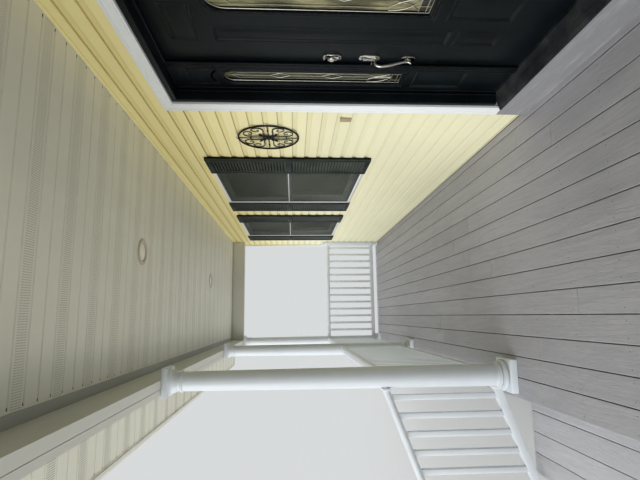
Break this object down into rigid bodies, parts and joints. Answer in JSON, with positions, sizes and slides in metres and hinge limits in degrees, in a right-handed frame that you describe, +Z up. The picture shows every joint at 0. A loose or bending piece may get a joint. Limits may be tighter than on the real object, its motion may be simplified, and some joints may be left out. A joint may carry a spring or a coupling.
{
  "type": "front porch",
  "caption": "Roofed front porch with round columns, railings, wide steps and a deck, on a sided house front with a panelled door, sidelights and shuttered windows.",
  "frame": {"origin": "on the ground, at the middle of the part's bounding box seen from above; X=0 is the axis of the front door", "axes": "+X to the right as seen from the yard, +Y from the steps towards the house, +Z up"},
  "size_m": [13.9, 3.019, 4.3112],
  "materials": {
    "concrete": "rough",
    "framing": "rough",
    "deck": "painted",
    "white_trim": "satin",
    "soffit": "matte",
    "siding": "matte",
    "shingles": "rough",
    "gutter": "satin",
    "black_paint": "satin",
    "door_glass": "leaded",
    "window_glass": "clear",
    "screen": "mesh",
    "hardware": "brushed",
    "shutters": "satin",
    "light": "gloss",
    "bell": "matte"
  },
  "bodies": {
    "porch": {"foundation": "concrete", "deck_piers": "concrete", "deck_frame": "framing", "deck_boards": "deck", "skirt_boards": "deck", "skirt_posts": "framing", "landing_frame": "deck", "tread_frame": "deck", "step_boards": "deck", "risers": "deck", "stair_newels": "white_trim", "stair_rail_left": "white_trim", "stair_rail_right": "white_trim", "column_left_corner": "white_trim", "column_left_middle": "white_trim", "column_left_inner": "white_trim", "column_right_inner": "white_trim", "column_right_middle": "white_trim", "column_right_corner": "white_trim", "rail_left_inner": "white_trim", "rail_left_outer": "white_trim", "rail_right_inner": "white_trim", "rail_right_outer": "white_trim", "rail_left_end": "white_trim", "rail_right_end": "white_trim", "wall_posts": "white_trim", "beam_front": "white_trim", "beam_ends": "white_trim", "ceiling": "soffit", "soffit": "soffit", "fascia": "soffit", "rake_boards": "soffit", "gutter": "gutter", "roof": "shingles", "gables": "siding", "wall_left": "siding", "wall_right": "siding", "wall_over_door": "siding", "corner_boards": "white_trim", "kick_board": "deck", "door_sill": "black_paint", "door_casing": "white_trim", "door_frame": "black_paint", "sidelights": "black_paint", "sidelight_glass": "door_glass", "jamb_hinges": "hardware", "window_frames": "white_trim", "window_sashes": "white_trim", "window_glass": "window_glass", "window_screens": "screen", "shutters_left": "shutters", "shutters_right": "shutters", "ceiling_lights": "light", "wall_ornament": "black_paint", "doorbell": "bell"},
    "door": {"front_door": "black_paint", "door_glass": "door_glass", "handleset": "hardware", "door_hinges": "hardware"}
  },
  "joints": [
    {"name": "front_door_hinge", "type": "hinge", "parent": "porch", "child": "door", "pos_m": [0.536, 1.51, 1.79], "axis": [0, 0, -1], "range_deg": [0, 100]}
  ]
}
